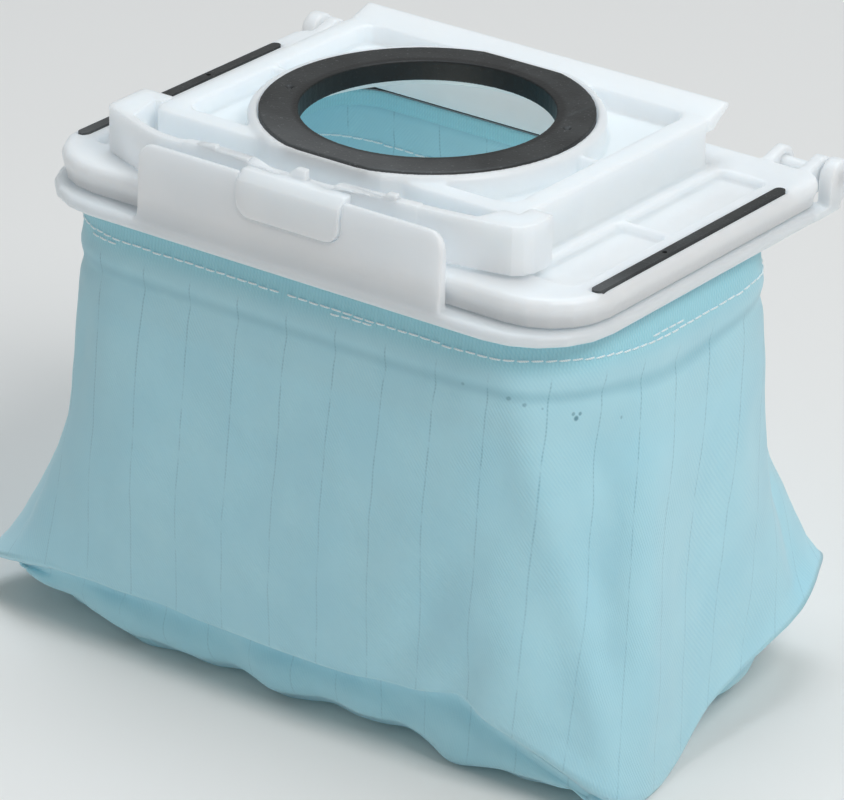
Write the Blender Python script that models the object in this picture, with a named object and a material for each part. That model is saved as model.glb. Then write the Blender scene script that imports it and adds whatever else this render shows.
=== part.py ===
"""Reusable cloth dust bag with a hinged inlet frame, for a vacuum-type dust collector.

A stiff lower frame holds the mouth of a cloth bag. A lid with the round inlet closes on it, hinged at
both rear corners and held at the front by a bow-shaped release spring whose thumb pad sits in a notch
of the frame's latch plate.

Lengths below are millimetres, measured from the middle of the frame: +X to the right along the latch
side, +Y towards the hinges, and heights from the underside of the frame's flange. The model itself is
in metres with its origin under the middle of the bag, on the surface that the bag stands on.
"""

import math

import bmesh
import bpy
from mathutils import Matrix, Vector

MM = 0.001
GAP = 0.3  # between neighbouring pieces

# Driving dimensions
FRAME_HALF_X = 75.0
FRAME_FRONT = -54.0
FRAME_REAR = 50.0
FLANGE_THICK = 3.0
BAG_DEPTH = 106.0
INLET_R = 28.9
INLET_Y = -0.5
HINGE_Y = 54.3
HINGE_Z = 7.8
HINGE_R = 4.4

# Frame
FRAME_CORNER = 20.6
MOUTH_HALF_X = 55.0
MOUTH_FRONT = -41.0
MOUTH_REAR = 42.0
MOUTH_CORNER = 12.0
LATCH_X = (-41.1, 42.5)
LATCH_TOP = 20.8
LATCH_BACK = -50.3
LATCH_FRONT = -52.3
NOTCH_BOTTOM = 10.7
NOTCH_CLEARANCE = 0.35

# Lid
LID_HALF_X = 74.3
LID_FRONT = -49.8
LID_REAR = 49.4
LID_BOTTOM = 3.3
DECK_TOP = 10.3
DECK_UNDER = 6.2
BOX_HALF_X = 50.7
BOX_FRONT = -35.6
BOX_REAR = 38.0
BOX_TOP = 21.6
BOX_WALL = 2.2
BOX_INSIDE_TOP = 15.2
TRAY_FLOOR = 17.0
TRAY_HALF_X = 45.2
TRAY_FRONT = -30.6
TRAY_REAR = 36.4
COLLAR_R = 40.2
COLLAR_TOP = 22.9
COLLAR_FRONT = -37.9
SEAT_FLOOR = 20.6
SEAT_R = 38.0
THROAT_R = 30.6
UNDERCUT_R = 34.0
UNDERCUT_TOP = 18.4
LID_RIB_Y = 2.1
POCKET_FLOOR = 8.0
POCKET_X = (53.6, 66.4)
POCKET_HALF_Y = 37.0
POCKET_RIB_Y = -1.0
RIM_WALL = 2.2
ABOVE_LID = 26.0  # where a cut from the top starts

# Rubber
SEAL_R = 37.7
SEAL_TOP = 23.15
SEAL_FLAT = 36.2
SEAL_LIP_R = 30.2
SEAL_LIP_BOTTOM = 18.3
STRIP_X = 71.1
STRIP_WIDTH = 2.6
STRIP_HALF_Y = 36.2
STRIP_BOTTOM = 9.3
STRIP_TOP = 10.4
STRIP_HOLE_Y = 9.9
STRIP_HOLE_R = 0.6
GASKET_WIDTH = 2.6
GASKET_TOP = 4.3

# Release spring
PAD_X = (-13.0, 15.0)
PAD_BOTTOM = 11.1
PAD_TOP = 21.4
PAD_FRONT = -52.9
PAD_LEAN_Z = (16.5, 19.2, 21.4)  # heights at which the pad's face leans back further
BOW_TOP = 22.6
BOW_BOTTOM = 11.2
BOW_MIDDLE = -48.2
BOW_THICK = 2.2
BOW_LEFT_DROP = 1.0  # how far the left arm lies below the strap
BOW_LEFT_RISE_X = -34.0
BOW_LEFT_BEND_X = -40.3
BOW_END_X = (59.3, 57.0)  # left arm, right arm
BOW_CORNER = (1.0, 3.0)
BOW_ROOT_Y = (-27.5, -31.8)
BOW_ROOT_THICK = 4.0
BOW_WEB_X = (53.0, 47.0)  # how far in the arm's end is filled up to the box
TAB_X = (-27.6, 28.6)
DIP_X = (-13.2, 10.5)
DIP_TOP = 21.2
TEETH = (  # ramp from x, z; top from x, to x, z
    (-27.6, 22.5, -22.9, -22.4, 23.3),
    (-2.6, 21.6, 0.0, 2.6, 23.8),
    (21.4, 21.6, 24.0, 26.2, 23.9),
)

# Hinge
PIN_R = 1.75
PIN_X = (57.6, 74.2)
LID_LUGS = ((57.2, 60.0), (67.4, 70.4))
CRADLE_X = (61.6, 65.8)
BLOCK_X = (71.6, 75.2)

# Cloth: corner circles (x, y, radius) from the front left, anticlockwise
CLOTH = 1.0
FLARE_START = 48.0
CREASE = 90.0
MOUTH_CORNERS = ((-47.0, -26.0, 24.0), (47.0, -26.0, 24.0), (45.0, 20.5, 26.0), (-45.0, 20.5, 26.0))
CREASE_CORNERS = ((-80.0, -46.0, 11.0), (79.0, -46.7, 12.0), (71.0, 43.0, 10.0), (-76.0, 42.0, 13.0))
FOOT_CORNERS = ((-61.0, -33.0, 13.0), (65.0, -34.0, 14.0), (57.0, 34.0, 14.0), (-60.0, 33.0, 14.0))
HEM_DEPTH = 14.0
STIFFENER_DEPTH = 12.4
STIFFENER_THICK = 0.9
HEM_THICK = 0.8
THREAD_WIDTH = 0.5

WHITE = (0.80, 0.86, 0.88)
RUBBER = (0.055, 0.06, 0.06)
TEAL = (0.42, 0.68, 0.75)
THREAD = (0.82, 0.84, 0.82)


def clear_scene():
    """Start from an empty scene."""
    for old in list(bpy.data.objects):
        bpy.data.objects.remove(old, do_unlink=True)


def place(x, y, z):
    """A point of the design in metres, with the bag's lowest face at height zero."""
    return Vector((x * MM, y * MM, (z + BAG_DEPTH) * MM))


def make_material(name, colour, roughness):
    """A plain Principled material."""
    made = bpy.data.materials.new(name)
    made.use_nodes = True
    shader = made.node_tree.nodes["Principled BSDF"]
    shader.inputs["Base Color"].default_value = (*colour, 1.0)
    shader.inputs["Roughness"].default_value = roughness
    shader.inputs["Metallic"].default_value = 0.0
    return made


def add_object(name, shape, material):
    """Link a bmesh to the scene as a named object."""
    bmesh.ops.recalc_face_normals(shape, faces=shape.faces)
    mesh = bpy.data.meshes.new(name)
    shape.to_mesh(mesh)
    shape.free()
    made = bpy.data.objects.new(name, mesh)
    if material:
        made.data.materials.append(material)
    mesh.shade_smooth()
    mesh.set_sharp_from_angle(angle=math.radians(35))
    bpy.context.scene.collection.objects.link(made)
    return made


def combine(target, shape, operation):
    """Join a shape to an object, cut it out, or keep only what both hold."""
    tool = add_object(f"{target.name}_tool", shape, None)
    tool.hide_render = True
    tool.display_type = "WIRE"
    step = target.modifiers.new(operation.lower(), "BOOLEAN")
    step.operation = operation
    step.solver = "EXACT"
    step.object = tool


def arc(cx, cy, radius, start, stop, steps):
    """Points on an arc, its angles in degrees."""
    angles = [math.radians(start + (stop - start) * i / steps) for i in range(steps + 1)]
    return [(cx + radius * math.cos(a), cy + radius * math.sin(a)) for a in angles]


def rounded_rect(x0, x1, y0, y1, front, rear, steps=5):
    """An anticlockwise rectangle with one corner radius at the front and one at the rear."""
    points = arc(x0 + front, y0 + front, front, 180, 270, steps)
    points += arc(x1 - front, y0 + front, front, 270, 360, steps)
    points += arc(x1 - rear, y1 - rear, rear, 0, 90, steps)
    points += arc(x0 + rear, y1 - rear, rear, 90, 180, steps)
    return points


def loft(rings):
    """A closed solid through rings of equal point count, given as lists of (x, y, z)."""
    shape = bmesh.new()
    made = [[shape.verts.new(place(*p)) for p in ring] for ring in rings]
    for low, high in zip(made, made[1:]):
        for i in range(len(low)):
            j = (i + 1) % len(low)
            shape.faces.new((low[i], low[j], high[j], high[i]))
    shape.faces.new(made[0])
    shape.faces.new(made[-1])
    return shape


def tube(outer, inner):
    """A closed wall between an outer and an inner stack of rings, open at both ends."""
    shape = bmesh.new()
    loop = outer + inner[::-1]
    made = [[shape.verts.new(place(*p)) for p in ring] for ring in loop]
    for low, high in zip(made, made[1:] + made[:1]):
        for i in range(len(low)):
            j = (i + 1) % len(low)
            shape.faces.new((low[i], low[j], high[j], high[i]))
    return shape


def at_height(outline, z):
    """A flat outline as a ring."""
    return [(x, y, z) for x, y in outline]


def slab(outline, z0, z1):
    """An upright prism."""
    return loft([at_height(outline, z0), at_height(outline, z1)])


def slab_ring(outer, inner, z0, z1):
    """An upright prism with a hole of the same point count."""
    heights = (z0, z1)
    return tube([at_height(outer, z) for z in heights], [at_height(inner, z) for z in heights])


def block(x0, x1, y0, y1, z0, z1):
    """A plain box."""
    return slab([(x0, y0), (x1, y0), (x1, y1), (x0, y1)], z0, z1)


def profile_along_x(profile, x0, x1):
    """A prism of a (y, z) profile between two x values."""
    return loft([[(x, y, z) for y, z in profile] for x in (x0, x1)])


def profile_along_y(profile, y0, y1):
    """A prism of an (x, z) profile between two y values."""
    return loft([[(x, y, z) for x, z in profile] for y in (y0, y1)])


def disc(radius, z0, z1, steps=64):
    """A cylinder on the inlet's axis."""
    return slab(arc(0, INLET_Y, radius, 0, 360, steps)[:-1], z0, z1)


def rod(radius, x0, x1, steps=20):
    """A cylinder on the hinge axis."""
    return profile_along_x(arc(HINGE_Y, HINGE_Z, radius, 0, 360, steps)[:-1], x0, x1)


def frame_outline(inset):
    """The outer outline of the frame's flange."""
    edge = FRAME_HALF_X - inset
    return rounded_rect(-edge, edge, FRAME_FRONT + inset, FRAME_REAR - inset, FRAME_CORNER - inset, 4 - inset)


def mouth_outline(grow):
    """The bag's mouth in the frame, or an outline that much outside it."""
    edge = MOUTH_HALF_X + grow
    corner = MOUTH_CORNER + grow
    return rounded_rect(-edge, edge, MOUTH_FRONT - grow, MOUTH_REAR + grow, corner, corner)


def latch_outline():
    """The latch plate seen from the front: round shoulders and an open notch for the thumb pad."""
    shoulder = 4.0
    foot = 4.0
    left = PAD_X[0] - NOTCH_CLEARANCE
    right = PAD_X[1] + NOTCH_CLEARANCE
    points = [(LATCH_X[0], 0.5), (LATCH_X[1], 0.5)]
    points += arc(LATCH_X[1] - shoulder, LATCH_TOP - shoulder, shoulder, 0, 90, 5)
    points += [(right, LATCH_TOP)]
    points += arc(right - foot, NOTCH_BOTTOM + foot, foot, 0, -90, 4)
    points += arc(left + foot, NOTCH_BOTTOM + foot, foot, -90, -180, 4)
    points += [(left, LATCH_TOP)]
    points += arc(LATCH_X[0] + shoulder, LATCH_TOP - shoulder, shoulder, 90, 180, 5)
    return points


def hinge_block(front, bottom):
    """The side view of a hinge block: round about the pin, running down to the flange in front."""
    points = arc(HINGE_Y, HINGE_Z, HINGE_R, -60, 180, 14)
    return points + [(front, HINGE_Z - 3), (front, bottom), (HINGE_Y - 1.5, bottom)]


def cradle(web_bottom, web_top):
    """The side view of the cradle under a pin: an open cup on a web that runs into the flange."""
    root = FRAME_REAR - 2
    front = HINGE_Y - HINGE_R + 0.9
    rear = HINGE_Y + HINGE_R
    points = arc(HINGE_Y, HINGE_Z, PIN_R + GAP, 180, 360, 8)
    points += [(rear - 0.6, HINGE_Z), (rear - 1.2, web_bottom), (root, web_bottom)]
    points += [(root, web_top), (front, web_top), (front, HINGE_Z)]
    return points


def make_latch_plate():
    """The latch plate as a hidden guide: its front outline, kept to a side view that slopes to the lip."""
    plate = profile_along_y(latch_outline(), FRAME_FRONT, LATCH_BACK)
    lip = FRAME_FRONT + 0.3
    side_view = [(LATCH_BACK + 1, 0), (LATCH_BACK + 1, LATCH_TOP + 1), (LATCH_FRONT + 1, LATCH_TOP + 1)]
    side_view += [(LATCH_FRONT + 0.7, LATCH_TOP - 0.6), (LATCH_FRONT, LATCH_TOP - 3.5)]
    side_view += [(LATCH_FRONT - 0.3, 6.0), (LATCH_FRONT - 0.8, 3.4), (lip, 2.0), (lip, 0)]
    latch = add_object("latch_plate_guide", plate, None)
    latch.hide_render = True
    latch.display_type = "WIRE"
    combine(latch, profile_along_x(side_view, LATCH_X[0] - 1, LATCH_X[1] + 1), "INTERSECT")
    return latch


def add_hinge_side(frame, side):
    """One hinge block with its foot on the flange and its pin bore, and the open cradle beside it."""
    web_bottom = 0.6
    web_top = 2.4
    x0, x1 = sorted((side * BLOCK_X[0], side * BLOCK_X[1]))
    combine(frame, profile_along_x(hinge_block(FRAME_REAR - 0.1, web_bottom), x0, x1), "UNION")
    combine(frame, block(x0, x1, FRAME_REAR - 6, HINGE_Y, web_bottom, web_top), "UNION")
    x0, x1 = sorted((side * CRADLE_X[0], side * CRADLE_X[1]))
    combine(frame, profile_along_x(cradle(web_bottom, web_top), x0, x1), "UNION")
    bore_start = BLOCK_X[0] - 2 * GAP
    combine(frame, rod(PIN_R + GAP, side * bore_start, side * (PIN_X[1] + GAP)), "DIFFERENCE")


def make_lower_frame(white):
    """The flange that holds the bag's mouth, with latch plate, hinge blocks and pin cradles."""
    levels = ((1.0, 0.0), (0.2, 0.5), (0.0, 1.3), (0.2, 2.4), (1.1, FLANGE_THICK))
    outer = [at_height(frame_outline(inset), z) for inset, z in levels]
    mouth = [at_height(mouth_outline(0), z) for _, z in levels]
    frame = add_object("lower_frame", tube(outer, mouth), white)
    join = frame.modifiers.new("latch", "BOOLEAN")
    join.operation = "UNION"
    join.solver = "EXACT"
    join.object = make_latch_plate()
    for side in (-1, 1):
        add_hinge_side(frame, side)
    return frame


def lid_outline(inset):
    """The outline of the lid's rim."""
    edge = LID_HALF_X - inset
    return rounded_rect(-edge, edge, LID_FRONT + inset, LID_REAR - inset, 17 - inset, 5 - inset)


def box_outline(inset):
    """The outline of the raised inlet box."""
    edge = BOX_HALF_X - inset
    return rounded_rect(-edge, edge, BOX_FRONT + inset, BOX_REAR - inset, 3.2 - inset, 3.2 - inset, 3)


def clipped_outline(radius, y0, y1, steps=64):
    """A circle on the inlet's axis with its front and rear cut flat."""
    points = arc(0, INLET_Y, radius, 0, 360, steps)[:-1]
    return [(x, min(max(y, y0), y1)) for x, y in points]


def clipped_disc(radius, y0, y1, z0, z1):
    """A cylinder on the inlet's axis with its front and rear cut flat."""
    return slab(clipped_outline(radius, y0, y1), z0, z1)


def rear_lip():
    """The side view of the flared lip along the box's rear wall."""
    wall = BOX_REAR - 1.6
    tip = BOX_REAR + 6.3
    points = [(wall, 18.4), (BOX_REAR + 0.2, 18.4), (BOX_REAR + 1.8, 19.8), (tip - 0.2, 22.3)]
    return points + [(tip, 23.2), (tip - 1.1, 23.6), (wall + 0.8, 21.8), (wall, 21.3)]


def lid_lug():
    """The side view of a lid lug: round over the pin and joined to the rim."""
    root = LID_REAR - 2
    return arc(HINGE_Y, HINGE_Z, HINGE_R - 0.4, -90, 90, 10) + [(root, 10.0), (root, 4.2)]


def add_lid_solids(lid):
    """The inlet box with its rear lip, and the hinge lugs."""
    combine(lid, loft([at_height(box_outline(0), 9.0), at_height(box_outline(0.2), BOX_TOP)]), "UNION")
    combine(lid, profile_along_x(rear_lip(), -BOX_HALF_X + 0.4, BOX_HALF_X + 0.4), "UNION")
    for side in (-1, 1):
        for x0, x1 in LID_LUGS:
            combine(lid, profile_along_x(lid_lug(), side * x0, side * x1), "UNION")


def cut_lid_hollows(lid):
    """The hollows under the deck and the box, and the tray in the box's top."""
    below = LID_BOTTOM - 1
    combine(lid, slab(lid_outline(RIM_WALL), below, DECK_UNDER), "DIFFERENCE")
    combine(lid, slab(box_outline(BOX_WALL), below, BOX_INSIDE_TOP), "DIFFERENCE")
    tray = rounded_rect(-TRAY_HALF_X, TRAY_HALF_X, TRAY_FRONT, TRAY_REAR, 4, 4, 3)
    combine(lid, slab(tray, TRAY_FLOOR, ABOVE_LID), "DIFFERENCE")


def add_tray_solids(lid):
    """The collar around the inlet, the ribs beside it, and the rim below that presses on the gasket."""
    rear = BOX_REAR - 0.6
    collar = clipped_outline(COLLAR_R, COLLAR_FRONT, rear)
    rim = clipped_outline(COLLAR_R - 1.0, COLLAR_FRONT + 0.3, rear - 0.3)
    levels = ((collar, BOX_INSIDE_TOP + 0.1), (collar, COLLAR_TOP - 1.0), (rim, COLLAR_TOP))
    combine(lid, loft([at_height(outline, z) for outline, z in levels]), "UNION")
    for side in (-1, 1):
        x0, x1 = sorted((side * (COLLAR_R - 1.5), side * (TRAY_HALF_X + 1)))
        y0, y1 = LID_RIB_Y - 0.8, LID_RIB_Y + 0.8
        combine(lid, block(x0, x1, y0, y1, TRAY_FLOOR - 0.5, BOX_TOP - 0.5), "UNION")
    press = slab_ring(mouth_outline(2.0), mouth_outline(0.8), GASKET_TOP + GAP, DECK_UNDER + 0.5)
    combine(lid, press, "UNION")


def strip_outline(side, grow):
    """The outline of a rubber strip with round ends, or of its groove, that much larger."""
    half = STRIP_WIDTH / 2 + grow
    end = STRIP_HALF_Y + grow
    x = side * STRIP_X
    return rounded_rect(x - half, x + half, -end, end, half - 0.01, half - 0.01, 4)


def cut_lid_side(lid, side):
    """The two pockets, the strip groove and the pin bore of one side."""
    x0, x1 = sorted((side * POCKET_X[0], side * POCKET_X[1]))
    rib = 0.6
    for y0, y1 in ((-POCKET_HALF_Y, POCKET_RIB_Y - rib), (POCKET_RIB_Y + rib, POCKET_HALF_Y)):
        pocket = rounded_rect(x0, x1, y0, y1, 1.6, 1.6, 2)
        combine(lid, slab(pocket, POCKET_FLOOR, ABOVE_LID), "DIFFERENCE")
    combine(lid, slab(strip_outline(side, GAP), STRIP_BOTTOM - GAP, ABOVE_LID), "DIFFERENCE")
    bore_end = LID_LUGS[1][1] + 1.1
    combine(lid, rod(PIN_R + GAP, side * (PIN_X[0] - 1), side * bore_end), "DIFFERENCE")


def make_lid(white):
    """The hinged lid: a rounded rim and deck, the raised inlet box and its collar."""
    levels = ((1.0, LID_BOTTOM), (0.9, 5.2), (0.3, 6.6), (0, 7.8), (0.3, 9.3), (1.0, 10.05), (1.9, DECK_TOP))
    lid = add_object("lid", loft([at_height(lid_outline(inset), z) for inset, z in levels]), white)
    add_lid_solids(lid)
    cut_lid_hollows(lid)
    add_tray_solids(lid)
    for side in (-1, 1):
        cut_lid_side(lid, side)
    flat = SEAL_FLAT + GAP
    seat = clipped_disc(SEAT_R, INLET_Y - flat, INLET_Y + flat, SEAT_FLOOR, ABOVE_LID)
    combine(lid, seat, "DIFFERENCE")
    combine(lid, disc(THROAT_R, LID_BOTTOM - 1, ABOVE_LID), "DIFFERENCE")
    combine(lid, disc(UNDERCUT_R, LID_BOTTOM - 1, UNDERCUT_TOP), "DIFFERENCE")
    return lid


def make_inlet_seal(rubber):
    """The rubber ring around the inlet, with a lip down the throat."""
    top = clipped_disc(SEAL_R, INLET_Y - SEAL_FLAT, INLET_Y + SEAL_FLAT, SEAT_FLOOR + GAP, SEAL_TOP)
    seal = add_object("inlet_seal", top, rubber)
    combine(seal, disc(SEAL_LIP_R, SEAL_LIP_BOTTOM, SEAT_FLOOR + 1), "UNION")
    combine(seal, disc(INLET_R, SEAL_LIP_BOTTOM - 1, SEAL_TOP + 1), "DIFFERENCE")
    return seal


def make_seal_strip(name, side, rubber):
    """A rubber strip pressed into a groove of the rim, with a small hole through it."""
    strip = add_object(name, slab(strip_outline(side, 0), STRIP_BOTTOM, STRIP_TOP), rubber)
    hole = arc(side * STRIP_X, -side * STRIP_HOLE_Y, STRIP_HOLE_R, 0, 360, 10)[:-1]
    combine(strip, slab(hole, STRIP_BOTTOM - 1, STRIP_TOP + 1), "DIFFERENCE")
    return strip


def bow_front(x):
    """The front face of the strap: bowed on the right, straight and then slanting back on the left."""
    if x > 0:
        return BOW_MIDDLE + 3.2 * (x / LATCH_X[1]) ** 2.2
    past = BOW_LEFT_BEND_X - x
    return BOW_MIDDLE + (past + math.sqrt(past * past + 6.0)) / 5


def bow_strip(x0, x1, steps):
    """The outline of a stretch of the strap, from one x to another."""
    xs = [x0 + (x1 - x0) * i / steps for i in range(steps + 1)]
    front = [(x, bow_front(x)) for x in xs]
    return front + [(x, y + BOW_THICK) for x, y in reversed(front)]


def make_release_bow(name, side, x_end, white):
    """One arm of the release spring: a root at the box wall, a round corner and half the bow."""
    end, root, web, round_by = (both[side > 0] for both in (BOW_END_X, BOW_ROOT_Y, BOW_WEB_X, BOW_CORNER))
    bend = end - round_by
    xs = [x_end + (bend - x_end) * i / 8 for i in range(9)]
    wall = BOX_HALF_X + GAP
    box_front = BOX_FRONT - GAP
    corner = bow_front(side * bend)
    outline = [(x, bow_front(side * x)) for x in xs]
    outline += [(end - 0.3 * round_by, corner + 0.6 * round_by), (end, corner + 1.4 * round_by)]
    outline += [(end, root), (wall, root)]
    if web < wall:
        outline += [(wall, box_front), (web, box_front)]
    else:
        outline += [(wall, root - BOW_ROOT_THICK), (web, root - BOW_ROOT_THICK)]
    outline += [(x, bow_front(side * x) + BOW_THICK) for x in reversed(xs) if x < web]
    outline = [(side * x, y) for x, y in outline][::side]
    drop = BOW_LEFT_DROP if side < 0 else 0
    bottom = max(BOW_BOTTOM - drop, DECK_TOP + GAP)
    arm = add_object(name, slab(outline, bottom, BOW_TOP - drop), white)
    if drop:
        top = BOW_TOP - drop
        rise = [(BOW_LEFT_RISE_X, top - 1), (-x_end, top - 1), (-x_end, TEETH[0][1]), (BOW_LEFT_RISE_X, top)]
        combine(arm, profile_along_y(rise, BOW_MIDDLE + 0.6, BOW_MIDDLE + BOW_THICK), "UNION")
    x0, x1 = sorted((side * (BOX_HALF_X + 0.5), side * (end - 0.6)))
    foot = block(x0, x1, root - 3.8, root - 0.4, DECK_TOP + GAP, BOW_BOTTOM + 1)
    combine(arm, foot, "UNION")
    return arm


def tooth(ramp_x, ramp_z, x0, x1, top):
    """A catch tooth on the strap's top edge, ramped on its left."""
    base = BOW_TOP - 2.0
    profile = [(ramp_x, base), (x1, base), (x1, top), (x0, top), (ramp_x, ramp_z)]
    face = bow_front(x1) + 0.3
    return profile_along_y(profile, face, face + 1.6)


def make_release_tab(white):
    """The middle of the release spring: the strap, its catch teeth and the thumb pad."""
    tab = add_object("release_tab", slab(bow_strip(TAB_X[0], TAB_X[1], 10), BOW_BOTTOM, BOW_TOP), white)
    dip = block(*DIP_X, BOW_MIDDLE - 2, BOW_MIDDLE + 4, DIP_TOP, BOW_TOP + 2)
    combine(tab, dip, "DIFFERENCE")
    for shape in TEETH:
        combine(tab, tooth(*shape), "UNION")
    combine(tab, make_pad(), "UNION")
    return tab


def make_pad():
    """The thumb pad: a rounded outline from the front, its face leaning back towards the strap's top."""
    rows = []
    back = BOW_MIDDLE + 1
    corner = 3.6
    outline = arc(PAD_X[1] - corner, PAD_BOTTOM + corner, corner, -90, 0, 4)
    outline += [(PAD_X[1], z) for z in PAD_LEAN_Z] + [(PAD_X[0], z) for z in reversed(PAD_LEAN_Z)]
    outline += arc(PAD_X[0] + corner, PAD_BOTTOM + corner, corner, 180, 270, 4)
    heights = (PAD_BOTTOM, *PAD_LEAN_Z)
    depths = (PAD_FRONT, PAD_FRONT, PAD_FRONT + 0.5, PAD_FRONT + 2.6)
    for x, z in outline:
        spot = max(i for i, low in enumerate(heights) if z >= low - 1e-6)
        share = 0.0
        if spot + 1 < len(heights):
            share = (z - heights[spot]) / (heights[spot + 1] - heights[spot])
        front = depths[spot] + share * (depths[min(spot + 1, len(depths) - 1)] - depths[spot])
        rows.append(((x, front, z), (x, back, z)))
    return loft([[front for front, _ in rows], [rear for _, rear in rows]])


def corner_loop(corners, steps=6):
    """An anticlockwise outline from four corner circles (x, y, radius), front left first."""
    points = []
    for turn, (cx, cy, radius) in enumerate(corners):
        points += arc(cx, cy, radius, 180 + 90 * turn, 270 + 90 * turn, steps)
    return points


def mix(a, b, share):
    """Corner circles between two sets."""
    return [tuple(p + (q - p) * share for p, q in zip(one, other)) for one, other in zip(a, b)]


def shrink(x, y, inset):
    """A point moved towards the bag's middle."""
    scale = 1 - inset / math.hypot(x, y)
    return (x * scale, y * scale)


def bag_outline(z, inset):
    """The bag's outline at a height: straight at the top, widest at the crease, tucked in below it."""
    drop = -z
    if drop <= CREASE:
        share = max((drop - FLARE_START) / (CREASE - FLARE_START), 0.0)
        corners = mix(MOUTH_CORNERS, CREASE_CORNERS, share * share * (3 - 2 * share))
    else:
        share = min((drop - CREASE) / (BAG_DEPTH - CREASE), 1.0)
        corners = mix(CREASE_CORNERS, FOOT_CORNERS, 1.0 - math.sqrt(1.0 - share * share))
    return [shrink(x, y, inset) for x, y in corner_loop(corners)]


def make_bag_wall(cloth):
    """The cloth wrap that makes the four walls, open at the top and at the bottom seam."""
    heights = (-GAP, -24, -FLARE_START, -56, -63, -70, -77, -84, -CREASE)
    outer = [at_height(bag_outline(z, 0), z) for z in heights]
    inner = [at_height(bag_outline(z, CLOTH), z) for z in heights]
    return add_object("bag_wall", tube(outer, inner), cloth)


def make_bag_bottom(cloth):
    """The bottom panel: a rounded tray sewn to the walls along the crease."""
    heights = (-CREASE - GAP, -95, -99, -102, -104.4, -BAG_DEPTH)
    outer = [at_height(bag_outline(z, 0), z) for z in heights]
    inner_heights = (*heights[:-2], -103.8, -BAG_DEPTH + 1.4)
    inner = [at_height(bag_outline(z, 1.6), lifted) for z, lifted in zip(heights, inner_heights)]
    return add_object("bag_bottom", loft(outer[::-1] + inner), cloth)


def make_hem_band(name, start, thick, depth, material):
    """A band inside the bag's mouth, from the flange down."""
    heights = (-2 * GAP, -depth)
    outer = [at_height(bag_outline(z, start), z) for z in heights]
    inner = [at_height(bag_outline(z, start + thick), z) for z in heights]
    return add_object(name, tube(outer, inner), material)


def stitch_height(y):
    """How high the hem's stitches run: lower at the sides and the rear than at the front."""
    return -4.9 - 3.6 * min(max((y + 50.0) / 25.0, 0.0), 1.0)


def make_hem_thread(thread):
    """The sewing thread around the outside of the hem, as one square band."""
    rings = []
    for grow in (GAP + THREAD_WIDTH, GAP):
        ring = bag_outline(-HEM_DEPTH, -grow)
        rings.append([[(x, y, stitch_height(y) + lift) for x, y in ring] for lift in (0, THREAD_WIDTH)])
    return add_object("hem_thread", tube(*rings), thread)


def hang(parts, name, x, y, z):
    """Parent moving pieces to an empty on their joint."""
    pivot = bpy.data.objects.new(name, None)
    pivot.location = place(x, y, z)
    bpy.context.scene.collection.objects.link(pivot)
    for part in parts:
        part.parent = pivot
        part.matrix_parent_inverse = Matrix.Translation(-pivot.location)


def build():
    """Make every piece."""
    clear_scene()
    white = make_material("natural_plastic", WHITE, 0.38)
    rubber = make_material("black_rubber", RUBBER, 0.6)
    cloth = make_material("bag_cloth", TEAL, 0.85)
    thread = make_material("sewing_thread", THREAD, 0.7)

    make_lower_frame(white)
    gasket = slab_ring(mouth_outline(GASKET_WIDTH), mouth_outline(0.2), FLANGE_THICK + 0.1, GASKET_TOP)
    add_object("frame_gasket", gasket, rubber)
    make_bag_wall(cloth)
    make_bag_bottom(cloth)
    hem_inset = CLOTH + GAP
    make_hem_band("hem_stiffener", hem_inset, STIFFENER_THICK, STIFFENER_DEPTH, white)
    make_hem_band("bag_hem", hem_inset + STIFFENER_THICK + GAP, HEM_THICK, HEM_DEPTH, cloth)
    make_hem_thread(thread)

    lid_pieces = [make_lid(white), make_inlet_seal(rubber)]
    lid_pieces.append(make_seal_strip("seal_strip_left", -1, rubber))
    lid_pieces.append(make_seal_strip("seal_strip_right", 1, rubber))
    lid_pieces.append(make_release_bow("release_bow_left", -1, -TAB_X[0] + GAP, white))
    lid_pieces.append(make_release_bow("release_bow_right", 1, TAB_X[1] + GAP, white))
    for name, side in (("hinge_pin_left", -1), ("hinge_pin_right", 1)):
        lid_pieces.append(add_object(name, rod(PIN_R, side * PIN_X[0], side * PIN_X[1]), white))
    hang(lid_pieces, "lid_hinge", 0, HINGE_Y, HINGE_Z)
    pad_middle = ((PAD_X[0] + PAD_X[1]) / 2, PAD_FRONT, (PAD_BOTTOM + PAD_TOP) / 2)
    hang([make_release_tab(white)], "release_slide", *pad_middle)


build()
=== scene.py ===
"""Looks of the reusable cloth dust bag: moulded plastic, rubber, a sagging twill bag and its stitches.

Places are in millimetres from the middle of the frame, with heights from the underside of the frame's
flange, as in the CAD source; world() turns them into the frame's metres.
"""

import math

import bmesh
import bpy
import numpy as np
from mathutils import Matrix, Vector, noise

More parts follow.
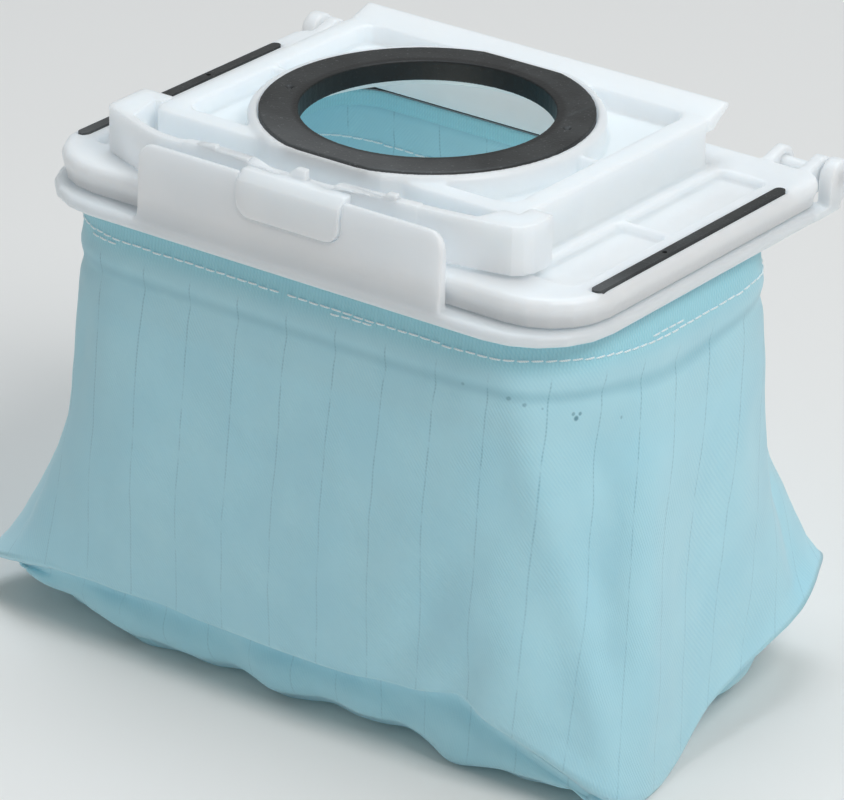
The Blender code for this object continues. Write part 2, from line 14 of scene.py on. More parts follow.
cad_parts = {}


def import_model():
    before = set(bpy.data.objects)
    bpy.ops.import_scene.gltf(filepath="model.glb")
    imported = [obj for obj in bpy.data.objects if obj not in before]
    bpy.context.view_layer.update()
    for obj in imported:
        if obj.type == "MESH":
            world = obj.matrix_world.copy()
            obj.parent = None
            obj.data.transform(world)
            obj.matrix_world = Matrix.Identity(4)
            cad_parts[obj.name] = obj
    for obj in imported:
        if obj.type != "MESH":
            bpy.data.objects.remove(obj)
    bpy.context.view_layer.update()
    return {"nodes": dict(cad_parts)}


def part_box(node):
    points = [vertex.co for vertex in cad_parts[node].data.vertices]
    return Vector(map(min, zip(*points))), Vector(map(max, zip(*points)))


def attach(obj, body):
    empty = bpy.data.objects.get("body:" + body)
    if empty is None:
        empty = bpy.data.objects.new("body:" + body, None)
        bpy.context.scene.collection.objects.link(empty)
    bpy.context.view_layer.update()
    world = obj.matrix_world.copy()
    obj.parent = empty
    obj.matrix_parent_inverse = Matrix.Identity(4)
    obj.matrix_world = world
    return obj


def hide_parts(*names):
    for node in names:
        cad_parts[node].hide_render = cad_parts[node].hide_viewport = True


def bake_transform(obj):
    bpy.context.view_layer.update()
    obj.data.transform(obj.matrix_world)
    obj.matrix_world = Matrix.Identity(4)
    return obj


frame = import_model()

MM = 0.001
FLANGE_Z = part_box("lower_frame")[0].z
FLOOR = -FLANGE_Z / MM

LARGE_GRID = (0.8, 0.42)
SMALL_GRID = (0.5, 0.25)

# Places in metres where the materials change: the ring's front edge with its painted reflection, and its
# throat with painted shade
RING_REFLECTION_Y = (-0.036, -0.018)
THROAT_SHADE_RADIUS = (0.0299, 0.0312)

# Cloth: its thickness, its cut length round the crease, the walls' drop and the spacing of its points
CLOTH_THICK = 0.55
CUT_ROUND = 486.0
WALL_TALL = 96
STEP = 1.25
CURVE_FINE = 24  # points made for each given point of a curve

# Pinstripes: spacing, where the first one runs, and the length of one dot with its gap
STRIPE_PITCH = 13.5
STRIPE_SHIFT = 7.4
STRIPE_DOT = 0.9

# The weave's diagonal lines, the ribs across the hem
TWILL_PITCH = 0.72
RIB_PITCH = 0.9
STIFFENER_EDGE = 13.4  # how far down the cloth the hem stiffener's lower edge lies, where a band of painted shadow runs

# Small dark marks: distance round the cloth, distance down it, radius, strength
SPECKS = (
    (59.5, 14.0, 0.8, 0.45),
    (63.0, 15.2, 0.7, 0.4),
    (75.0, 18.5, 0.8, 0.75),
    (75.9, 17.6, 0.6, 0.6),
    (74.2, 17.5, 0.6, 0.5),
    (48.5, 13.0, 0.6, 0.35),
    (88.5, 19.5, 0.5, 0.35),
    (67.0, 16.0, 0.4, 0.3),
)

# Corner circles (x, y, radius) from the front left: of the walls' top, and just inside the frame's mouth
MOUTH_CORNERS = ((-47.0, -26.0, 24.0), (47.0, -26.0, 24.0), (45.0, 20.5, 26.0), (-45.0, 20.5, 26.0))
MOUTH_EDGE = ((-43.0, -29.0, 11.65), (43.0, -29.0, 11.65), (43.0, 30.0, 11.65), (-43.0, 30.0, 11.65))

# The hem's inner fold: how deep it hangs, and how far inside the walls
INNER_HEM_DEEP = 25
INNER_HEM = 2.0
BOTTOM_SHIFT = 3.4  # how far the bottom panel's stripes run off the walls' stripes

# Stitches: thickness, length, gap, how proud they lie outside, and how much lower they run inside
STITCH_THICK = 0.23
STITCH_FLAT = 0.75
STITCH_LONG = 2.45
STITCH_GAP = 0.55
STITCH_PROUD = 0.42
STITCH_INSIDE_DROP = 1.6
STITCH_SIDES = 8
# One stitch's rings: share of its length, thickness, lift
STITCH_RINGS = (
    (-0.04, 0.35, -0.25),
    (0.04, 0.8, -0.05),
    (0.2, 1.0, 0.05),
    (0.5, 1.0, 0.10),
    (0.8, 1.0, 0.05),
    (0.96, 0.8, -0.05),
    (1.04, 0.35, -0.25),
)

# Rows below the crease: the share of the way to the foot line, and the drop
UNDER_FOLD = ((0.10, 0.9), (0.25, 1.5), (0.42, 1.9), (0.56, 2.6))
# Rows of the bottom's edge: the same two, and the share of the way to the foot line's height
BASE_EDGE = (
    (0.54, 1.6, 0),
    (0.60, 2.6, 0),
    (0.60, 3.6, 0.05),
    (0.56, 3.6, 0.2),
    (0.54, 3.6, 0.4),
    (0.58, 3.6, 0.6),
    (0.68, 3.6, 0.8),
    (0.84, 3.6, 0.93),
    (1.0, 3.6, 1.0),
)
# Rows from the foot line to the middle of the bottom, and the share where they reach the floor
BASE_SHARES = (0.05, 0.11, 0.18, 0.3, 0.45, 0.6, 0.75, 0.9, 0.985)
BASE_FLAT = 0.18

# How far the walls have flared out at a share of their height, at the left and the right ear
FLARE_LEFT = (
    (0, 0.30, 0.52, 0.60, 0.66, 0.74, 0.81, 0.88, 0.94, 1),
    (0, 0.03, 0.09, 0.14, 0.24, 0.38, 0.51, 0.66, 0.81, 1),
)
FLARE_RIGHT = (
    (0, 0.30, 0.47, 0.61, 0.72, 0.80, 0.88, 0.95, 1),
    (0, 0.06, 0.11, 0.17, 0.32, 0.50, 0.65, 0.80, 1),
)

# The line where the walls turn under, from the middle of the front to the right. The ears are the corners
# that stick out: the numbers of their points in it.
CREASE = (
    (0, -58, -88), (30, -58, -87.5), (47, -57.5, -85.5), (54, -57, -84.5), (61, -56.5, -88),
    (72, -55.5, -92), (82, -53, -96.5), (88, -48, -101), (90, -40, -104), (89, -30, -104.5),
    (87.5, -20, -102), (87, -11, -96),
    (87, 2, -91.5), (87, 12.5, -89), (87, 26, -86), (85, 37, -82), (79, 47.5, -81.5), (65, 48.5, -85.5),
    (35, 50, -90), (0, 51, -91), (-40, 50, -91), (-66, 49, -90), (-80, 43, -90), (-86, 28, -92),
    (-86, 0, -93), (-88, -26, -94), (-92, -46, -96.5), (-80, -54.5, -92), (-63, -56.5, -89),
    (-30, -58, -88),
)
EAR_RIGHT = 16
EAR_LEFT = 26

# The lowest outline of the bag, on or near the floor
FOOT = (
    (0, -49.2, -102.6), (14, -49, -101.6), (31, -49, -102.4), (49, -49, -104.2), (63, -49, -102.4),
    (79, -48.5, -102.2), (87, -44, -103.8), (87.5, -37, -105.4),
    (84, -26, -105.8), (77, -12, -105), (74, 2, -104), (73, 16, -103), (71, 28, -101), (66, 38, -97),
    (50, 43, -102), (0, 45, -104), (-50, 43, -102), (-72, 36, -98), (-78, 20, -100), (-80, 0, -100),
    (-80, -20, -98), (-79, -40, -96.5), (-63, -47.5, -100.2), (-48, -49, -101.8), (-34, -49, -102.8),
    (-13, -49, -103.6),
)

# Dents and ridges of the walls: distance round the cloth, height, their half widths, lean, and how proud
FOLDS = (
    (77, -54, 5.5, 44, -0.37, 2.6),
    (83, -29, 5, 9, -0.3, -1.7),
    (53, -80, 7, 11, 0.4, -1.6),
    (44, -68, 8, 26, 0.55, -1.8),
    (60, -80, 10, 14, 0.3, 0.9),
    (-62, -36, 7, 16, 0.15, -1.1),
    (-50, -60, 14, 26, 0.2, 0.6),
    (0, -60, 40, 22, 0.0, 0.8),
    (118, -58, 22, 22, 0.2, -1.0),
    (146, -44, 10, 30, -0.2, 0.9),
    (104, -66, 10, 26, -0.1, 0.9),
)

# The strap across the front, as in the CAD: its front face, its thickness, and where its left end bends
STRAP_Y = -48.2
STRAP_THICK = 2.2
STRAP_BEND_X = -40.3
STRAP_SKIN = 0.15  # how far the halves stand proud of the strap in the CAD
# Stations along a half, and the strap's top edge (x, height) from left to right
STRAP_STATIONS = (-0.3, 3, 6, 9, 10.3, 10.5, 13.2, 13.4, 17, 20, 23, 26, 29, 31.5)
STRAP_TOP = (
    (-34.0, 21.6), (-27.6, 22.5), (-13.3, 22.6), (-13.2, 21.2), (10.4, 21.2), (10.5, 22.6), (34, 22.6),
)

# The moulding marks in the inlet's ring: their places, radius and depth
DIMPLES = ((-31.7, -9.8), (31.5, 9.0))
DIMPLE_RADIUS = 0.75
DIMPLE_DEEP = 0.7

# Camera, in degrees and metres
CAMERA_AZIMUTH = 36.543
CAMERA_RISE = 24.824
CAMERA_ROLL = 0.837
CAMERA_PLACE = (0.66402, -0.89691, 0.57345)
CAMERA_LENS = 229.7

# Lights: name, place, target, size, power, colour
MIDDLE = (0, 0, 0.07)
LIGHTS = (
    ("key", (1.02, -0.25, 1.32), MIDDLE, 0.7, 11.0, (0.99, 1.0, 1.01)),
    ("top", (-0.2, 0.3, 1.5), MIDDLE, 0.9, 8.5, (0.84, 0.99, 1.10)),
    (
        "inside", (0.0, -0.036, FLANGE_Z - 0.034), (0.0, 0.05, FLANGE_Z - 0.030), 0.03, 0.021,
        (1.0, 0.93, 0.80),
    ),
)
WORLD_COLOUR = (1.0, 0.98, 0.96, 1.0)
WORLD_STRENGTH = 0.28


def world(points):
    """Design millimetres to the frame's metres."""
    made = np.array(points, float) * MM
    made[..., 2] += FLANGE_Z
    return made


# Curves and meshes


def between(a, b, c, d, t):
    """Points between b and c on a smooth curve through all four (Catmull-Rom)."""
    square = (2 * a - 5 * b + 4 * c - d) * t**2
    cube = (3 * b - a - 3 * c + d) * t**3
    return 0.5 * (2 * b + (c - a) * t + square + cube)


def spline(points):
    """A dense closed curve through the points."""
    p = np.array(points, float)
    t = np.arange(CURVE_FINE)[:, None] / CURVE_FINE
    count = len(p)
    made = [between(p[i - 1], p[i], p[(i + 1) % count], p[(i + 2) % count], t) for i in range(count)]
    return np.concatenate(made)


def corner_ring(corners, fine=48):
    """A dense closed outline of four corner circles, starting in the middle of the front."""
    points = [(0.0, corners[0][1] - corners[0][2])]
    order = (1, 2, 3, 0)
    for i, turn in zip(order, (270, 0, 90, 180)):
        cx, cy, radius = corners[i]
        for k in range(fine + 1):
            a = math.radians(turn + 90 * k / fine)
            points.append((cx + radius * math.cos(a), cy + radius * math.sin(a)))
    return np.array(points)


def lengths(curve):
    """The distance along a closed curve to each of its points, and its whole length."""
    steps = np.linalg.norm(np.diff(np.vstack([curve, curve[:1]]), axis=0), axis=1)
    return np.concatenate([[0], np.cumsum(steps)])


def along(curve, at):
    """Points of a closed curve at distances along it."""
    s = lengths(curve)
    closed = np.vstack([curve, curve[:1]])
    return np.stack([np.interp(at, s, closed[:, k]) for k in range(curve.shape[1])], axis=1)


def smooth_step(x, low, high):
    """0 below low, 1 above high."""
    t = np.clip((x - low) / (high - low), 0, 1)
    return t * t * (3 - 2 * t)


def bell(x, middle, width):
    """A soft bump of height 1."""
    return np.exp(-(((x - middle) / width) ** 2))


def add_mesh(name, verts, faces, material, smooth=True):
    """An object from points in metres."""
    mesh = bpy.data.meshes.new(name)
    mesh.from_pydata([tuple(v) for v in verts], [], [tuple(f) for f in faces])
    mesh.update()
    made = bpy.data.objects.new(name, mesh)
    bpy.context.scene.collection.objects.link(made)
    if material:
        mesh.materials.append(material)
    if smooth:
        mesh.shade_smooth()
    return made


def apply_all(obj):
    """Turn an object's modifiers into its mesh."""
    graph = bpy.context.evaluated_depsgraph_get()
    mesh = bpy.data.meshes.new_from_object(obj.evaluated_get(graph))
    obj.modifiers.clear()
    obj.data = mesh
    return obj


# Materials


class Nodes:
    """A material's node tree with short calls."""

    def __init__(self, name):
        self.material = bpy.data.materials.new(name)
        self.material.use_nodes = True
        self.tree = self.material.node_tree
        self.shader = self.tree.nodes["Principled BSDF"]

    def add(self, kind, **values):
        """A node with its plain properties and numbered or named inputs set."""
        node = self.tree.nodes.new(kind)
        for key, value in values.items():
            if hasattr(node, key):
                setattr(node, key, value)
            else:
                node.inputs[key.replace("_", " ")].default_value = value
        return node

    def link(self, out, into):
        """A link between two sockets."""
        self.tree.links.new(out, into)

    def set(self, **values):
        """Values of the shader's own sockets."""
        for key, value in values.items():
            self.shader.inputs[key.replace("_", " ")].default_value = value

    def math(self, operation, a, b=None, clamp=False):
        """A Math node of two numbers or sockets."""
        node = self.tree.nodes.new("ShaderNodeMath")
        node.operation = operation
        node.use_clamp = clamp
        for socket, value in zip(node.inputs, (a, b)):
            if isinstance(value, bpy.types.NodeSocket):
                self.link(value, socket)
            elif value is not None:
                socket.default_value = value
        return node.outputs[0]

    def rest(self, value):
        """One less a socket's value."""
        return self.math("SUBTRACT", 1.0, value)

    def times(self, a, b):
        """The product of two numbers or sockets."""
        return self.math("MULTIPLY", a, b)

    def wave(self, value, pitch):
        """A sine along a socket in millimetres."""
        return self.math("SINE", self.times(value, 2 * math.pi / pitch))

    def ramp(self, value, low, high):
        """A socket's value taken from low..high to 0..1."""
        node = self.tree.nodes.new("ShaderNodeMapRange")
        node.interpolation_type = "SMOOTHSTEP"
        node.inputs["From Min"].default_value = low
        node.inputs["From Max"].default_value = high
        self.link(value, node.inputs["Value"])
        return node.outputs["Result"]

    def mix(self, share, a, b):
        """A colour mix of two colours or sockets; sockets 6 and 7 are the Mix node's colours."""
        node = self.tree.nodes.new("ShaderNodeMix")
        node.data_type = "RGBA"
        for socket, value in ((node.inputs[0], share), (node.inputs[6], a), (node.inputs[7], b)):
            if isinstance(value, bpy.types.NodeSocket):
                self.link(value, socket)
            elif isinstance(value, (int, float)):
                socket.default_value = value
            else:
                socket.default_value = (*value, 1.0)
        return node.outputs[2]

    def noise(self, where, scale, detail=2.0, roughness=0.5, stretch=(1, 1, 1)):
        """Noise over a coordinate socket."""
        mapped = self.tree.nodes.new("ShaderNodeMapping")
        mapped.inputs["Scale"].default_value = stretch
        self.link(where, mapped.inputs["Vector"])
        node = self.add("ShaderNodeTexNoise", Scale=scale, Detail=detail, Roughness=roughness)
        self.link(mapped.outputs[0], node.inputs["Vector"])
        return node.outputs["Fac"]

    def bump(self, height, strength, distance, before=None):
        """A Bump node on a height socket."""
        node = self.add("ShaderNodeBump", Strength=strength, Distance=distance)
        self.link(height, node.inputs["Height"])
        if before:
            self.link(before, node.inputs["Normal"])
        return node.outputs["Normal"]

    def object_place(self):
        """The object's own coordinates, which are the frame's metres."""
        return self.add("ShaderNodeTexCoord").outputs["Object"]


def plastic_material():
    """Milky translucent moulded plastic, greyer low on the flange and lighter and cooler up on the box:
    painted shade and painted highlight by height.
    """
    n = Nodes("natural_plastic")
    where = n.object_place()
    cloud = n.noise(where, 60, 3)
    fine = n.noise(where, 900, 2)
    scratch = n.noise(where, 420, 3, stretch=(0.06, 1, 1))
    colour = n.mix(n.ramp(cloud, 0.35, 0.7), (0.80, 0.83, 0.85), (0.84, 0.865, 0.88))
    split = n.add("ShaderNodeSeparateXYZ")
    n.link(where, split.inputs[0])
    # Painted shade darkens the base colour low on the flange, and a painted highlight lightens and cools it
    # high on the box, by height alone.
    low = n.rest(n.ramp(split.outputs[2], FLANGE_Z + 0.002, FLANGE_Z + 0.009))
    high = n.ramp(split.outputs[2], FLANGE_Z + 0.010, FLANGE_Z + 0.021)
    colour = n.mix(n.times(low, 0.55), colour, (0.50, 0.52, 0.53))
    colour = n.mix(n.times(high, 0.6), colour, (0.86, 0.92, 0.96))
    n.link(colour, n.shader.inputs["Base Color"])
    rough = n.math("ADD", n.times(n.ramp(scratch, 0.3, 0.8), 0.12), 0.32)
    n.link(rough, n.shader.inputs["Roughness"])
    n.set(Subsurface_Weight=1.0, Subsurface_Radius=(1.0, 1.08, 1.15), Subsurface_Scale=0.006, IOR=1.46)
    # Painted light: a faint glow in the plastic's own colour lifts its seams and shaded faces.
    n.set(Emission_Color=(0.80, 0.86, 0.90, 1.0), Emission_Strength=0.08)
    n.link(n.bump(fine, 0.12, 0.0002, n.bump(scratch, 0.10, 0.0003)), n.shader.inputs["Normal"])
    return n.material


def rubber_material():
    """Matte black rubber with light specks and scuffs, a painted reflection on the ring's front edge and
    painted shade in its throat.
    """
    n = Nodes("black_rubber")
    where = n.object_place()
    speck = n.ramp(n.noise(where, 1700, 1), 0.66, 0.74)
    scuff = n.ramp(n.noise(where, 260, 4, 0.7, (1, 0.25, 1)), 0.55, 0.75)
    base = n.mix(n.ramp(n.noise(where, 120, 3), 0.3, 0.7), (0.020, 0.021, 0.021), (0.034, 0.036, 0.036))
    base = n.mix(n.times(speck, 0.35), base, (0.20, 0.21, 0.21))
    base = n.mix(n.times(scuff, 0.3), base, (0.11, 0.118, 0.118))
    split = n.add("ShaderNodeSeparateXYZ")
    n.link(where, split.inputs[0])
    # Painted reflection: the ring's front edge is lightened towards grey.
    front_reflection = n.rest(n.ramp(split.outputs[1], *RING_REFLECTION_Y))
    base = n.mix(n.times(front_reflection, 0.075), base, (0.62, 0.64, 0.65))
    flat = n.math("ADD", n.math("POWER", split.outputs[0], 2.0), n.math("POWER", split.outputs[1], 2.0))
    # Painted shade: the rubber goes nearly black inside the ring's throat, where the hole lies in shade.
    throat_shade = n.rest(n.ramp(n.math("SQRT", flat), *THROAT_SHADE_RADIUS))
    base = n.mix(n.times(throat_shade, 0.8), base, (0.008, 0.008, 0.008))
    n.link(base, n.shader.inputs["Base Color"])
    n.link(n.math("ADD", n.times(scuff, 0.15), 0.52), n.shader.inputs["Roughness"])
    n.link(n.bump(n.noise(where, 1300, 2), 0.3, 0.0002), n.shader.inputs["Normal"])
    return n.material


def pinstripes(n, uv, u, v):
    """Thin dotted lines down the cloth, worn in places, from 0 to 1."""
    wander = n.times(n.math("SUBTRACT", n.noise(uv, 6, 2), 0.5), 1.2)
    across = n.math("ADD", u, n.math("SUBTRACT", wander, STRIPE_SHIFT))
    share = n.math("FRACT", n.math("DIVIDE", across, STRIPE_PITCH))
    stripe = n.times(n.math("ABSOLUTE", n.math("SUBTRACT", share, 0.5)), STRIPE_PITCH)
    line = n.rest(n.ramp(stripe, 0.06, 0.30))
    dots = n.ramp(n.wave(v, STRIPE_DOT), -0.6, 0.5)
    worn = n.ramp(n.noise(uv, 22, 3), 0.30, 0.55)
    below_hem = n.ramp(v, 8.5, 11.0)
    line = n.times(n.times(line, below_hem), n.times(worn, 0.42))
    line = n.times(line, n.math("ADD", n.times(dots, 0.45), 0.55))
    return n.times(line, n.rest(n.times(n.ramp(v, 25.0, 80.0), 0.4)))


def specks(n, u, v, base):
    """The small dark marks, laid over a colour."""
    for at_u, at_v, size, depth in SPECKS:
        du = n.math("SUBTRACT", u, at_u)
        dv = n.math("SUBTRACT", v, at_v)
        far = n.math("SQRT", n.math("ADD", n.times(du, du), n.times(dv, dv)))
        spot = n.rest(n.ramp(far, size * 0.3, size))
        base = n.mix(n.times(spot, depth), base, (0.04, 0.15, 0.20))
    return base


def cloth_material():
    """Fine twill with thin dotted pinstripes; the UV map holds the cut cloth in units of 100 mm."""
    n = Nodes("bag_cloth")
    uv = n.add("ShaderNodeUVMap", uv_map="cloth").outputs[0]
    split = n.add("ShaderNodeSeparateXYZ")
    n.link(uv, split.inputs[0])
    u = n.times(split.outputs[0], 100.0)
    v = n.times(split.outputs[1], 100.0)
    line = pinstripes(n, uv, u, v)

    twill = n.wave(n.math("ADD", n.times(u, 0.78), n.times(v, -0.62)), TWILL_PITCH)
    clear = n.ramp(n.noise(uv, 9, 3), 0.35, 0.65)
    twill = n.times(twill, n.math("ADD", n.times(clear, 0.7), 0.3))
    hem = n.rest(n.ramp(v, 5.0, 10.0))
    ribs = n.times(n.wave(u, RIB_PITCH), hem)

    base = n.mix(n.ramp(n.noise(uv, 5, 4), 0.25, 0.75), (0.400, 0.690, 0.800), (0.450, 0.740, 0.840))
    base = n.mix(n.times(hem, 0.75), base, (0.330, 0.700, 0.810))
    base = n.mix(n.math("ADD", n.times(twill, 0.11), 0.11), base, (0.62, 0.85, 0.90))
    base = n.mix(n.times(ribs, 0.12), base, (0.14, 0.40, 0.48))
    # Painted shadow: a dark band along the line where the hem stiffener's lower edge lies.
    from_stiffener_shadow = n.math("ABSOLUTE", n.math("SUBTRACT", v, STIFFENER_EDGE))
    base = n.mix(n.times(n.rest(n.ramp(from_stiffener_shadow, 0.0, 2.4)), 0.28), base, (0.12, 0.34, 0.42))
    # Painted shade: the cloth is darkened from just below the crease on down, as under the overhanging
    # walls.
    under = n.ramp(v, 96.0, 100.0)
    base = n.mix(n.times(under, 0.24), base, (0.20, 0.52, 0.60))
    base = specks(n, u, v, base)
    fleck = n.ramp(n.noise(uv, 300, 1), 0.62, 0.75)
    base = n.mix(n.times(fleck, 0.12), base, (0.60, 0.80, 0.84))
    base = n.mix(line, base, (0.10, 0.28, 0.36))
    n.link(base, n.shader.inputs["Base Color"])
    height = n.math("ADD", n.times(twill, 0.5), n.times(ribs, 0.8))
    height = n.math("SUBTRACT", height, line)
    n.link(n.bump(height, 0.35, 0.00012), n.shader.inputs["Normal"])
    n.set(Roughness=0.82, Sheen_Weight=0.30, Sheen_Roughness=0.5, Specular_IOR_Level=0.3)
    n.set(Subsurface_Weight=0.35, Subsurface_Radius=(0.8, 1.0, 1.1), Subsurface_Scale=0.0012)
    # Painted light: a faint cyan glow stands in for light let through the cloth.
    n.set(Emission_Color=(0.40, 0.85, 1.0, 1.0), Emission_Strength=0.045)
    return n.material


def thread_material():
    """White twisted thread."""
    n = Nodes("sewing_thread")
    where = n.object_place()
    twist = n.add("ShaderNodeTexWave", Scale=900.0, Distortion=1.5)
    twist.bands_direction = "DIAGONAL"
    n.link(where, twist.inputs["Vector"])
    strand = twist.outputs["Fac"]
    n.link(n.mix(strand, (0.66, 0.80, 0.84), (0.84, 0.93, 0.95)), n.shader.inputs["Base Color"])
    n.link(n.bump(strand, 0.5, 0.0002), n.shader.inputs["Normal"])
    n.set(Roughness=0.7, Sheen_Weight=0.2)
    # Painted light: a glow keeps the thread white where it lies in shade.
    n.set(Emission_Color=(0.85, 0.97, 1.0, 1.0), Emission_Strength=0.12)
    return n.material


def floor_material():
    """A plain pale floor."""
    n = Nodes("floor")
    where = n.object_place()
    n.link(n.mix(n.noise(where, 3), (0.88, 0.85, 0.82), (0.90, 0.87, 0.84)), n.shader.inputs["Base Color"])
    n.set(Roughness=0.9, Specular_IOR_Level=0.1)
    return n.material


# The bag


class Bag:
    """The cloth's surface: columns round the bag, rows from the mouth to the middle of the bottom."""

    def __init__(self):
        top = corner_ring(MOUTH_CORNERS)
        crease = spline(CREASE)
        foot = spline(FOOT)
        self.columns = int(CUT_ROUND / STEP)
        self.w = np.arange(self.columns) * CUT_ROUND / self.columns
        top_round = lengths(top)[-1]
        crease_s = lengths(crease)
        whole = crease_s[-1]
        right_ear = crease_s[CURVE_FINE * EAR_RIGHT]
        left_ear = whole - crease_s[CURVE_FINE * EAR_LEFT]
        # Distances round the crease and the mouth for each column, with the ears above the mouth's corners
        knots = [0, 120, right_ear, CUT_ROUND - left_ear, CUT_ROUND - 60, CUT_ROUND]
        self.ears = (right_ear, CUT_ROUND - left_ear)
        at_top = np.interp(self.w, knots, [0, 118, 158, top_round - 73, top_round - 58, top_round])
        at_crease = np.interp(self.w, knots, [0, 120, right_ear, whole - left_ear, whole - 60, whole])
        # The stripes are counted both ways from the middle of the front, and meet behind
        behind = self.w > CUT_ROUND / 2
        self.at_top = at_top
        self.u_top = np.where(behind, at_top - top_round, at_top)
        self.u_crease = np.where(behind, at_crease - whole, at_crease)
        self.top = along(top, at_top)
        self.crease = along(crease, at_crease)
        foot_s = lengths(foot)
        angle = np.unwrap(np.arctan2(self.crease[:, 0], -self.crease[:, 1]))
        foot_angle = np.unwrap(np.arctan2(foot[:, 0], -foot[:, 1]))
        at_foot = np.interp(angle, np.append(foot_angle, foot_angle[0] + 2 * np.pi), foot_s)
        self.foot = along(foot, at_foot)
        # Columns that hang straight first and flare late: at the ears, by the right fold, and behind
        late = bell(self.w, self.ears[0], 46) + bell(self.w, self.ears[1], 40) + bell(self.w, 82, 16) * 0.5
        hidden = smooth_step(self.w, self.ears[0] - 30, self.ears[0])
        hidden *= 1 - smooth_step(self.w, self.ears[1] - 10, self.ears[1] + 20)
        self.late = np.clip(late + hidden, 0, 1)
        self.leftness = smooth_step(self.w, 200, 330)

    def wall_row(self, share):
        """One row of the walls: share 0 at the mouth, 1 at the crease."""
        depth = -self.crease[:, 2]
        early = 1 - (1 - share) ** 1.9
        left = np.interp(share, *FLARE_LEFT)
        right = np.interp(share, *FLARE_RIGHT)
        late = right + (left - right) * self.leftness
        s = early + (late - early) * self.late
        row = np.empty((self.columns, 3))
        row[:, :2] = self.top + (self.crease[:, :2] - self.top) * s[:, None]
        row[:, 2] = -depth * share
        return row

    def under_row(self, q, drop, settle):
        """A row below the crease: q of the way to the foot line, with a drop, settled towards its height."""
        row = self.crease + (self.foot - self.crease) * q
        row[:, 2] = self.crease[:, 2] - drop
        row[:, 2] += (self.foot[:, 2] - row[:, 2]) * settle
        return row

    def wall(self):
        """Rows of the walls, and of their edge turned under the crease."""
        rows = [self.wall_row(s) for s in np.linspace(0.003, 1, int(WALL_TALL / STEP))]
        return rows + [self.under_row(q, drop, 0) for q, drop in UNDER_FOLD]

    def base(self):
        """Rows of the bottom panel, from the fold under the walls to its middle."""
        rows = self.refine([self.under_row(*p) for p in BASE_EDGE], 3)
        middle = self.foot.mean(axis=0)
        for share in BASE_SHARES:
            row = self.foot + (middle - self.foot) * share
            flat = min(share / BASE_FLAT, 1.0)
            to_floor = FLOOR + CLOTH_THICK / 2 - self.foot[:, 2]
            row[:, 2] = self.foot[:, 2] + to_floor * math.sqrt(flat * (2 - flat))
            rows.append(row)
        return rows

    @staticmethod
    def refine(rows, times):
        """More rows between the given ones, on smooth curves."""
        p = np.array(rows)
        made = []
        for i in range(len(p) - 1):
            a, b, c, d = p[max(i - 1, 0)], p[i], p[i + 1], p[min(i + 2, len(p) - 1)]
            made += [between(a, b, c, d, k / times) for k in range(times)]
        made.append(p[-1])
        return made


def normals_of(grid):
    """Outward normals of a closed-round grid of rows."""
    across = np.roll(grid, -1, axis=1) - np.roll(grid, 1, axis=1)
    down = np.gradient(grid, axis=0)
    n = np.cross(across, down)
    n /= np.maximum(np.linalg.norm(n, axis=2, keepdims=True), 1e-9)
    return -n


def down_cloth(grid):
    """How far down the cloth each row lies."""
    steps = np.linalg.norm(np.diff(grid, axis=0), axis=2).mean(axis=1)
    return np.concatenate([[0], np.cumsum(steps)])


def cloth_noise(points, size, seed):
    """Smooth noise at points in millimetres."""
    shift = Vector((seed * 17.3, seed * 5.1, seed * 9.7))
    found = [noise.noise(Vector(p) / size + shift) for p in points.reshape(-1, 3)]
    return np.array(found).reshape(points.shape[:-1])


def shape_walls(grid, w):
    """Press the stiffener's edge, folds and small wrinkles into the walls."""
    out = normals_of(grid)
    z = grid[:, :, 2]
    push = -0.35 * np.ones_like(z)
    push += 0.45 * bell(z, -10.5, 2.2) - 0.55 * bell(z, -14.6, 2.0)
    round_w = np.where(w > CUT_ROUND / 2, w - CUT_ROUND, w)
    for at, height, wide, tall, lean, proud in FOLDS:
        centre = at + (z - height) * lean
        for turn in (-CUT_ROUND, 0, CUT_ROUND):
            push += proud * bell(round_w[None, :] + turn, centre, wide) * bell(z, height, tall)
    loose = smooth_step(-z, 14, 40)
    push += loose * (0.9 * cloth_noise(grid, 34, 1) + 0.35 * cloth_noise(grid, 13, 2))
    push += 0.10 * cloth_noise(grid, 5, 3)
    return grid + out * push[:, :, None]


def shape_base(grid, w):
    """Puffs and small wrinkles in the bottom band."""
    out = normals_of(grid)
    rows = np.arange(len(grid))[:, None]
    band = smooth_step(rows, 5, 12) * (1 - smooth_step(rows, 24, 30))
    puff = 0.7 * np.sin(2 * np.pi * w / 54 + 0.8)[None, :]
    puff = puff + 0.6 * np.sin(2 * np.pi * w / 27 + 2.0)[None, :]
    push = band * (puff + 0.9 * cloth_noise(grid, 16, 4) + 0.5 * cloth_noise(grid, 7, 5))
    return grid + out * push[:, :, None]


